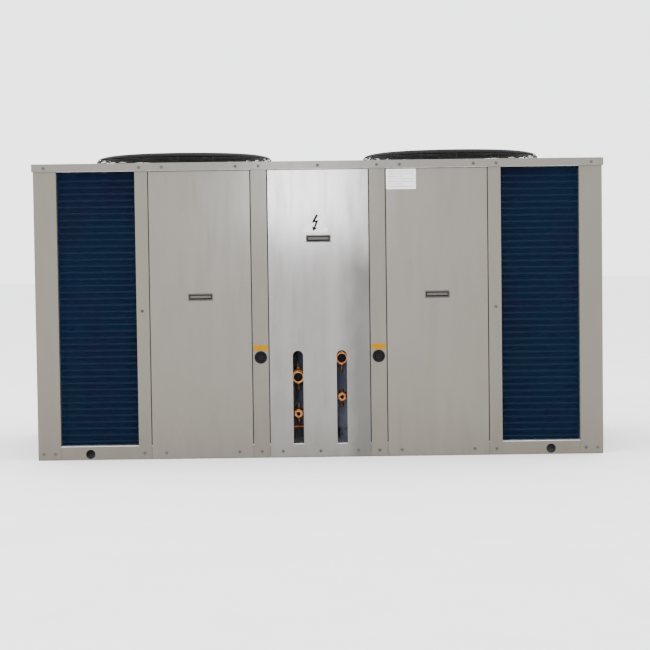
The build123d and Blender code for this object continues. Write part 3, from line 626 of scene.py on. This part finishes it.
def bent_wire(name, points, radius):
    """A round wire that bends smoothly from the first point to the last."""
    curve = bpy.data.curves.new(name, "CURVE")
    curve.dimensions = "3D"
    curve.bevel_depth = radius
    curve.bevel_resolution = 1
    curve.use_fill_caps = True
    curve.resolution_u = 4
    line = curve.splines.new("NURBS")
    line.points.add(len(points) - 1)
    for knot, point in zip(line.points, points):
        knot.co = (*point, 1)
    line.order_u = 3
    line.use_endpoint_u = True
    return tidy_shell(meshed(curve))


def hoop(radius, height, thickness, across=96):
    """A thin ring round the vertical axis."""
    fresh()
    bpy.ops.mesh.primitive_torus_add(
        location=(0, 0, height),
        major_radius=radius,
        minor_radius=thickness,
        major_segments=across,
        minor_segments=6,
    )
    return bpy.context.object


print("wire helpers are ready")

# %% [markdown]
# A guard's edge is a quarter of an ellipse. The rings are walked along it at an even distance, so
# they don't crowd at the rim, and then step inwards across the level top to the motor plate.

# %% Guards over the fans
guard_low, guard_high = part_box("fan_guard_right")
guard_middle = (guard_low.x + guard_high.x) / 2
foot_wire, spoke_wire, ring_wire, thin_ring_wire = 0.0025, 0.0023, 0.0018, 0.0015
edge_ring_pitch, top_ring_pitch = 0.0072, 0.0118
guard_reach = (guard_high.x - guard_low.x) / 2 - foot_wire
crown_reach = 0.25
foot_z = guard_low.z + foot_wire
crown_z = guard_high.z - 0.002
shoulder_z = foot_z + 0.022
edge_width = guard_reach - crown_reach
edge_height = crown_z - shoulder_z


def guard_edge(angle):
    """Radius and height on the rounded edge, from 0 at the level top to 90 degrees at the skirt."""
    return crown_reach + edge_width * math.sin(angle), shoulder_z + edge_height * math.cos(angle)


def guard_basket():
    """The wires of one guard, round the vertical axis."""
    drop = 0.0042
    rounded = [guard_edge(math.radians(angle)) for angle in (90, 75, 60, 45, 30, 15, 0)]
    spoke_line = [(guard_reach, 0, foot_z), (guard_reach, 0, foot_z + 0.010)]
    spoke_line += [(radius, 0, height - drop) for radius, height in rounded]
    spoke_line += [(crown_reach - 0.03, 0, crown_z - drop), (0.062, 0, crown_z - drop)]
    turns = [Matrix.Rotation(math.radians(22.5 * n), 4, "Z") for n in range(16)]
    basket = [copies(bent_wire("spoke", spoke_line, spoke_wire), turns)]
    basket.append(hoop(guard_reach, foot_z, foot_wire))
    basket += [hoop(guard_reach, foot_z + rise, ring_wire) for rise in (0.006, 0.011, 0.016)]
    angle = math.pi / 2
    while angle > 0:
        radius, height = guard_edge(angle)
        basket.append(hoop(radius, height - 0.001, ring_wire))
        angle -= edge_ring_pitch / math.hypot(edge_width * math.cos(angle), edge_height * math.sin(angle))
    radius = crown_reach
    while radius > 0.08:
        basket.append(hoop(radius, crown_z - 0.001, thin_ring_wire))
        radius -= top_ring_pitch
    return joined(basket)


def motor_plate():
    """The pressed plate in the middle of a guard, with a raised rim and four hexagon nuts."""
    fresh()
    middle = (0, 0, crown_z - 0.0037)
    bpy.ops.mesh.primitive_cylinder_add(vertices=40, radius=0.078, depth=0.0066, location=middle)
    plate = bpy.context.object
    settle(plate)
    bpy.ops.object.mode_set(mode="EDIT")
    choose(plate, "FACE", lambda p: p.z > crown_z - 0.0006)
    bpy.ops.mesh.inset(thickness=0.003)
    bpy.ops.mesh.inset(thickness=0.003, depth=-0.0040)
    bpy.ops.mesh.inset(thickness=0.040)
    bpy.ops.mesh.inset(thickness=0.004, depth=0.0026)
    bpy.ops.object.mode_set(mode="OBJECT")
    fresh()
    place = (0.044, 0, crown_z - 0.0025)
    bpy.ops.mesh.primitive_cylinder_add(vertices=6, radius=0.006, depth=0.004, location=place)
    nut = bpy.context.object
    quarters = [Matrix.Rotation(math.radians(45 + 90 * n), 4, "Z") for n in range(4)]
    nuts = copies(applied(nut, "BEVEL", width=0.0008, segments=1), quarters)
    return joined([plate, nuts])


for side, middle in (("right", guard_middle), ("left", -guard_middle)):
    guard = copies(joined([guard_basket(), motor_plate()]), [Matrix.Translation((middle, 0, 0))])
    covered = [f"fan_guard_{side}"]
    hand_over(guard, f"guard_{side}_wires", "cabinet", "guard_wire", covered, 40)

# %% [markdown]
# ## Screws
# The sheets are held by washer-head screws. Each has a thin flange, a raised twelve-sided head and
# a shallow hollow in the top. The CAD screws give the places, and the way each one faces.


# %% Screws
def loose_middles(name):
    """The middle of each separate solid of a CAD node."""
    fresh()
    twin = bpy.data.objects.new("measure", nodes[name].data.copy())
    bpy.context.scene.collection.objects.link(twin)
    tidy_shell(twin)
    bpy.ops.mesh.separate(type="LOOSE")
    middles = []
    for piece in list(bpy.context.selected_objects):
        corners = [Vector(corner) for corner in piece.bound_box]
        middles.append((corners[0] + corners[6]) / 2)
        bpy.data.objects.remove(piece)
    return middles


def washer_screw():
    """A screw whose flange rests on y = 0, its head towards -Y."""
    fresh()
    facing = (math.pi / 2, 0, 0)
    bpy.ops.mesh.primitive_cylinder_add(
        vertices=12, radius=0.006, depth=0.0007, location=(0, -0.00035, 0), rotation=facing
    )
    head = bpy.context.object
    head.name = "screw"
    settle(head)
    bpy.ops.object.mode_set(mode="EDIT")
    choose(head, "FACE", lambda p: p.y < -0.0006)
    bpy.ops.mesh.inset(thickness=0.0017)
    bpy.ops.mesh.extrude_region_move(TRANSFORM_OT_translate={"value": (0, -0.0015, 0)})
    bpy.ops.mesh.inset(thickness=0.0005, depth=0.0002)
    bpy.ops.mesh.inset(thickness=0.0012)
    bpy.ops.mesh.inset(thickness=0.0004, depth=-0.0007)
    bpy.ops.object.mode_set(mode="OBJECT")
    fresh()
    bpy.ops.mesh.primitive_cylinder_add(
        vertices=8, radius=0.0028, depth=0.011, location=(0, 0.0054, 0), rotation=facing
    )
    return joined([head, bpy.context.object])


screw_low, screw_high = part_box("left_panel_screws")
head_stand = 0.0025
half_shank = (screw_high.y - screw_low.y) / 2 - head_stand
screw_sets = {"cabinet_screws": "cabinet"}
screw_sets.update({f"{door}_panel_screws": f"{door}_panel" for door in ("left", "control", "right")})
for name, body in screw_sets.items():
    places = []
    for middle in loose_middles(name):
        on_an_end = abs(abs(middle.x) - cad_box[1][0]) < 0.02
        if on_an_end:
            turn = Matrix.Rotation(math.copysign(math.pi / 2, middle.x), 4, "Z")
            seat = Vector((middle.x + math.copysign(half_shank, middle.x), middle.y, middle.z))
        else:
            turn = Matrix.Rotation(0 if middle.y < 0 else math.pi, 4, "Z")
            seat = Vector((middle.x, middle.y + math.copysign(half_shank, middle.y), middle.z))
        places.append(Matrix.Translation(seat) @ turn)
    hand_over(copies(washer_screw(), places), f"{name}_heads", body, "steel", [name])

# %% [markdown]
# ## Pulls
# Each panel has a flush pull: a dark moulded frame round a pocket, and a paler bar across it that
# the fingers hook behind. The frame is a rounded outline, inset and pushed back to form the pocket.


# %% Pulls
def pull_frame():
    """A pull's frame and pocket round the origin, facing -Y."""
    fresh()
    bpy.ops.mesh.primitive_plane_add(size=1, rotation=(math.pi / 2, 0, 0))
    frame_piece = bpy.context.object
    frame_piece.name = "pull"
    frame_piece.scale = (0.096, 0.028, 1)
    settle(frame_piece)
    bpy.ops.object.mode_set(mode="EDIT")
    bpy.ops.mesh.select_all(action="SELECT")
    bpy.ops.mesh.bevel(offset=0.003, segments=4, affect="VERTICES")
    bpy.ops.mesh.inset(thickness=0.0008, depth=0.0006)
    bpy.ops.mesh.inset(thickness=0.0030)
    bpy.ops.mesh.inset(thickness=0.0010, depth=-0.0012)
    bpy.ops.mesh.extrude_region_move(TRANSFORM_OT_translate={"value": (0, 0.0165, 0)})
    bpy.ops.mesh.inset(thickness=0.002, depth=-0.001)
    bpy.ops.object.mode_set(mode="OBJECT")
    return applied(frame_piece, "SOLIDIFY", thickness=0.0012, offset=-1)


def pull_bar():
    """The grip bar across the upper half of the pocket."""
    fresh()
    bpy.ops.mesh.primitive_cube_add(size=1, location=(0, 0.0035, 0.0008))
    bar = bpy.context.object
    bar.name = "bar"
    bar.scale = (0.0800, 0.0050, 0.0105)
    settle(bar)
    bpy.ops.object.mode_set(mode="EDIT")
    bpy.ops.mesh.select_all(action="SELECT")
    bpy.ops.mesh.subdivide(number_cuts=2)
    choose(bar, "VERT", lambda p: p.z < 0 and p.y < 0.005)
    bpy.ops.transform.translate(value=(0, -0.0016, 0))
    bpy.ops.object.mode_set(mode="OBJECT")
    return applied(bar, "BEVEL", width=0.0010, segments=2, angle_limit=math.radians(40))


def fit_pulls(frame_name, bar_name, body, places, covered):
    """Hands over a frame and a bar for each place."""
    hand_over(copies(pull_frame(), places), frame_name, body, "handle_frame", [covered])
    hand_over(copies(pull_bar(), places), bar_name, body, "handle_plastic")


pull_rim = 0.0006
for door in ("left", "control", "right"):
    handle, body = f"{door}_panel_handle", f"{door}_panel"
    low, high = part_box(handle)
    place = Matrix.Translation(((low.x + high.x) / 2, low.y + pull_rim, (low.z + high.z) / 2))
    fit_pulls(f"{door}_pull_frame", f"{door}_pull_bar", body, [place], handle)
rear_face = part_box("rear_panel_handles")[1].y - pull_rim
half_turn = Matrix.Rotation(math.pi, 4, "Z")
rear_places = []
for middle in loose_middles("rear_panel_handles"):
    rear_places.append(Matrix.Translation((middle.x, rear_face, middle.z)) @ half_turn)
fit_pulls("rear_pull_frames", "rear_pull_bars", "cabinet", rear_places, "rear_panel_handles")

# %% [markdown]
# ## Cable bushes
# A rubber bush lines the hole in each narrow post, closed by a thin membrane until a cable goes
# through. It is round, so it is lathed: a ring is pushed along its axis and resized step by step.


# %% Turned shapes and bushes
def turned(name, profile, across=36):
    """A lathed shell round the Y axis, through steps of radius and distance along it."""
    fresh()
    radius, along = profile[0]
    facing = (math.pi / 2, 0, 0)
    bpy.ops.mesh.primitive_circle_add(vertices=across, radius=radius, location=(0, along, 0), rotation=facing)
    shape = bpy.context.object
    shape.name = name
    settle(shape)
    bpy.ops.object.mode_set(mode="EDIT")
    bpy.ops.mesh.select_all(action="SELECT")
    for next_radius, next_along in profile[1:]:
        bpy.ops.mesh.extrude_region_move(TRANSFORM_OT_translate={"value": (0, next_along - along, 0)})
        growth = next_radius / radius
        bpy.ops.transform.resize(value=(growth, 1, growth), center_override=(0, next_along, 0))
        radius, along = next_radius, next_along
    bpy.ops.object.mode_set(mode="OBJECT")
    return tidy_shell(shape)


bush_low, bush_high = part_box("cable_grommets")
bush_depth = bush_high.y - bush_low.y
bush_profile = [(0.001, 0.0062), (0.0105, 0.0058), (0.0118, 0.0046), (0.0130, 0.0058), (0.0163, 0.0060)]
bush_profile += [(0.0182, 0.0), (0.0192, 0.0011), (0.0214, 0.0011), (0.0226, 0.0001), (0.0241, 0.0009)]
bush_profile += [(0.0244, 0.003), (0.0227, 0.0031), (0.0227, bush_depth - 0.0035)]
bush_profile += [(0.0248, bush_depth - 0.0034)]
bush_profile += [(0.0240, bush_depth), (0.0163, bush_depth), (0.0160, 0.0074), (0.001, 0.0074)]
bush_middles = loose_middles("cable_grommets")
bush_places = [Matrix.Translation((middle.x, bush_low.y, middle.z)) for middle in bush_middles]
bushes = copies(turned("bush", bush_profile), bush_places)
hand_over(bushes, "cable_bushes", "cabinet", "rubber", ["cable_grommets"], 50)

# %% [markdown]
# ## Sign and label
# The triangular sign carries a plain zigzag arrow, and the white label has ruled lines only,
# because this unit has no maker. Both are thin ink on the plate, drawn as a flat outline.


# %% Zigzag and ruled lines
def flat_shape(name, outline, face_y, thickness):
    """A thin plate with a drawn outline, standing on a face that looks towards -Y."""
    curve = bpy.data.curves.new(name, "CURVE")
    curve.dimensions = "2D"
    curve.fill_mode = "BOTH"
    curve.extrude = thickness / 2
    line = curve.splines.new("POLY")
    line.points.add(len(outline) - 1)
    for knot, (x, z) in zip(line.points, outline):
        knot.co = (x, z, 0, 1)
    line.use_cyclic_u = True
    plate = meshed(curve)
    plate.data.transform(Matrix.Rotation(math.pi / 2, 4, "X"))
    plate.data.transform(Matrix.Translation((0, face_y - thickness / 2, 0)))
    return tidy_shell(plate)


sign_low, sign_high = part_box("electrical_sign")
sign_x = (sign_low.x + sign_high.x) / 2
zigzag = [(0.004, 0.068), (-0.013, 0.036), (0.003, 0.039), (-0.004, 0.020), (-0.011, 0.022), (-0.008, 0.004)]
zigzag += [(0.008, 0.015), (0.002, 0.018), (0.014, 0.047), (0.0, 0.044), (0.013, 0.066)]
arrow = flat_shape("arrow", [(sign_x + x, sign_low.z + z) for x, z in zigzag], sign_low.y, 0.0005)
hand_over(arrow, "sign_zigzag", "control_panel", "ink", smooth=0)


def ruled_lines(node, rows, margin):
    """Thin ruled lines that turn a blank label into an empty form."""
    low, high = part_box(node)
    wide, tall = high.x - low.x, high.z - low.z
    left, line_width = low.x + margin, 0.0009
    bars = []
    for n in range(rows):
        z = low.z + tall * (n + 1) / (rows + 1)
        right = high.x - margin - wide * (0.35 if n % 3 == 1 else 0.0)
        outline = [(left, z), (right, z), (right, z + line_width), (left, z + line_width)]
        bars.append(flat_shape("rule", outline, low.y, 0.0002))
    return joined(bars)


rules = ruled_lines("data_label", 7, 0.008)
hand_over(rules, "data_label_rules", "right_panel", "ink", smooth=0)

# %% [markdown]
# ## Foam seals
# Black foam tape lies behind the gaps round the panels, so that no rain gets in. Its near-black also
# stands in for the shade deep in the gaps, a painted shade. One strip is a bar with its long edges
# rounded off.


# %% Foam tape in the gaps
def foam_strip(x0, x1, z0, z1, y):
    """A vertical strip of tape whose front lies at y."""
    fresh()
    bpy.ops.mesh.primitive_cube_add(size=1, location=((x0 + x1) / 2, y + 0.0008, (z0 + z1) / 2))
    strip = bpy.context.object
    strip.name = "foam"
    strip.scale = (x1 - x0, 0.0016, z1 - z0)
    settle(strip)
    bpy.ops.object.mode_set(mode="EDIT")
    choose(strip, "EDGE", lambda p: p.y < y + 0.0001 and abs(p.z - (z0 + z1) / 2) < 0.1)
    bpy.ops.mesh.bevel(offset=0.0006, segments=2)
    bpy.ops.object.mode_set(mode="OBJECT")
    return strip


door_edges = []
for door in ("left", "control", "right"):
    door_low, door_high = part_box(f"{door}_access_panel")
    door_edges += [(door_low.x, -1), (door_high.x, 1)]
tape_low, tape_high = door_low.z + 0.03, door_high.z
tape_y, tape_width = front_y + 0.0026, 0.0028
strips, rear_places = [], []
for edge, outward in door_edges:
    far = edge + outward * tape_width
    left, right = min(edge, far) + 0.0001, max(edge, far) - 0.0001
    strips.append(foam_strip(left, right, tape_low, tape_high, tape_y))
    rear_places.append(half_turn @ Matrix.Translation((edge + outward * tape_width / 2, 0, 0)))
rear_strip = foam_strip(-tape_width / 2, tape_width / 2, tape_low, tape_high, tape_y)
strips.append(copies(rear_strip, rear_places))
# The near-black tape also stands in for the shade deep in the gaps, a painted shade.
hand_over(joined(strips), "foam_seals_and_gap_shade", "cabinet", "rubber")

# %% [markdown]
# ## Valves
# Behind each slot sit a large and a small ball valve. A hexagon nut clamps each stub, the bright ball's
# dished face at the bottom of the socket is painted near-black, a painted shade for the deep socket,
# and a small charging port points down.


# %% Valve fittings
def hexagon_nut(bore, across):
    """A chamfered hexagon ring round the Y axis, 14 mm long."""
    rough = [(bore, 0.0), (across * 0.93, 0.0), (across, 0.0016), (across, 0.0124), (across * 0.93, 0.014)]
    return turned("nut", rough + [(bore, 0.014), (bore, 0.0)], 6)


def charging_port(length):
    """A capped charging port along Y: a thin stem and a cap."""
    stem = [(0.0034, 0.0), (0.0034, length * 0.45), (0.0062, length * 0.46), (0.0066, length * 0.52)]
    return turned("port", stem + [(0.0066, length * 0.94), (0.0052, length), (0.0005, length)], 12)


def ball_face(radius):
    """The dished face of the closed ball at the bottom of a socket."""
    dish = [(0.0005, -0.0030), (radius * 0.45, -0.0026), (radius * 0.8, -0.0014)]
    return turned("ball", dish + [(radius, 0.0), (radius, 0.001)], 24)


nuts, ports, balls = [], [], []
downward = Matrix.Rotation(-math.pi / 2, 4, "X")
valve_low, valve_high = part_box("service_valve_bodies")
for kind, stub_radius, body_radius in (("suction", 0.021, 0.028), ("liquid", 0.011, 0.017)):
    for circuit in ("a", "b"):
        stem_low, stem_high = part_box(f"{kind}_valve_stem_{circuit}")
        x = (stem_low.x + stem_high.x) / 2
        z = stem_low.z + 0.005 - body_radius
        nut_place = Matrix.Translation((x, valve_low.y + 0.013, z))
        nuts.append(copies(hexagon_nut(stub_radius + 0.0003, stub_radius + 0.0075), [nut_place]))
        ball_place = Matrix.Translation((x, valve_low.y + 0.0272, z))
        balls.append(copies(ball_face(stub_radius - 0.0036), [ball_place]))
        port_place = Matrix.Translation((x, valve_high.y - 0.018, z - body_radius + 0.002)) @ downward
        ports.append(copies(charging_port(0.030), [port_place]))
hand_over(joined(nuts + ports), "valve_nuts_and_ports", "cabinet", "valve_brass")
# The balls carry the near-black painted shade of the deep sockets.
hand_over(joined(balls), "valve_balls", "cabinet", "socket_shade_black", smooth=60)

# %% [markdown]
# ## Weld seams
# The shells and the receivers are closed vessels, welded all round where a dished end meets the
# drum. A weld is a low round bead, so a thin hoop that is half sunk in the wall gives it.


# %% Weld beads
def weld_beads(middles, radius, heights, thickness, across):
    """Beads at some heights round upright vessels."""
    beads = []
    for x, y in middles:
        for z in heights:
            beads.append(copies(hoop(radius, z, thickness, across), [Matrix.Translation((x, y, 0))]))
    return joined(beads)


crank_low, crank_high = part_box("crankshaft_b")
crank_x, crank_y = (crank_low.x + crank_high.x) / 2, (crank_low.y + crank_high.y) / 2
shell_middles = [(-crank_x, crank_y), (crank_x, crank_y)]
shell_beads = weld_beads(shell_middles, 0.1158, (0.120, 0.500), 0.0022, 64)
hand_over(shell_beads, "compressor_weld_seams", "cabinet", "compressor_paint")
receiver_low, receiver_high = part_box("liquid_receivers")
receiver_radius = 0.0580
receiver_y = (receiver_low.y + receiver_high.y) / 2
receiver_xs = (receiver_low.x + receiver_radius, receiver_high.x - receiver_radius)
receiver_middles = [(x, receiver_y) for x in receiver_xs]
receiver_beads = weld_beads(receiver_middles, receiver_radius, (0.118, 0.392), 0.0016, 48)
hand_over(receiver_beads, "receiver_weld_seams", "cabinet", "vessel_paint")

# %% [markdown]
# ## Wiring
# Coloured wires loop between the rows of switchgear. A wire is a bevelled curve through a few
# points, because it bends freely.

# %% Wires in the control box
gear_low, gear_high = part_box("switchgear")
wire_y, wire_radius = gear_low.y - 0.004, 0.0016
wire_tones = {
    "wire_red": (0.16, 0.006, 0.004),
    "wire_blue": (0.004, 0.02, 0.12),
    "wire_black": (0.006, 0.006, 0.006),
    "wire_yellow": (0.18, 0.12, 0.0),
}
for name, tone in wire_tones.items():
    coated(name, tone, tuple(value * 1.6 + 0.002 for value in tone), 0.45, 80.0)
for shift, name in enumerate(wire_tones):
    wires = []
    for n in range(3):
        left = gear_low.x + 0.030 + 0.019 * (shift + 4 * n)
        right = gear_low.x + 0.024 + 0.024 * (shift + 3 * n)
        route = [(left, wire_y + 0.030, gear_low.z + 0.076), (left, wire_y, gear_low.z + 0.100)]
        route += [(left + 0.004, wire_y, gear_low.z + 0.150)]
        route += [(right, wire_y - 0.001 * shift, gear_low.z + 0.180)]
        route += [(right, wire_y, gear_low.z + 0.215), (right, wire_y + 0.030, gear_low.z + 0.235)]
        wires.append(bent_wire("wire", route, wire_radius))
    hand_over(joined(wires), f"{name}s", "cabinet", name)

# %% [markdown]
# One black cable drops from the control box to each compressor's terminal box. It is a wire like
# the others, only thicker, and it enters the box from the front.

# %% Cables to the compressors
box_low, box_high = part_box("control_box")
terminal_low, terminal_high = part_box("compressor_terminal_boxes")
exit_y, cable_radius = box_high.y - 0.030, 0.0055
entry_z = (terminal_low.z + terminal_high.z) / 2
cables = []
for side in (-1, 1):
    entry_x = side * (terminal_high.x - 0.03)
    route = [(side * 0.150, exit_y, box_low.z - 0.001), (side * 0.152, exit_y, box_low.z - 0.035)]
    route += [(side * 0.190, terminal_low.y - 0.035, terminal_high.z + 0.015)]
    route += [(entry_x, terminal_low.y - 0.030, terminal_high.z - 0.01)]
    route += [(entry_x, terminal_low.y - 0.012, entry_z), (entry_x, terminal_low.y + 0.001, entry_z)]
    cables.append(bent_wire("cable", route, cable_radius))
hand_over(joined(cables), "compressor_cables", "cabinet", "rubber")
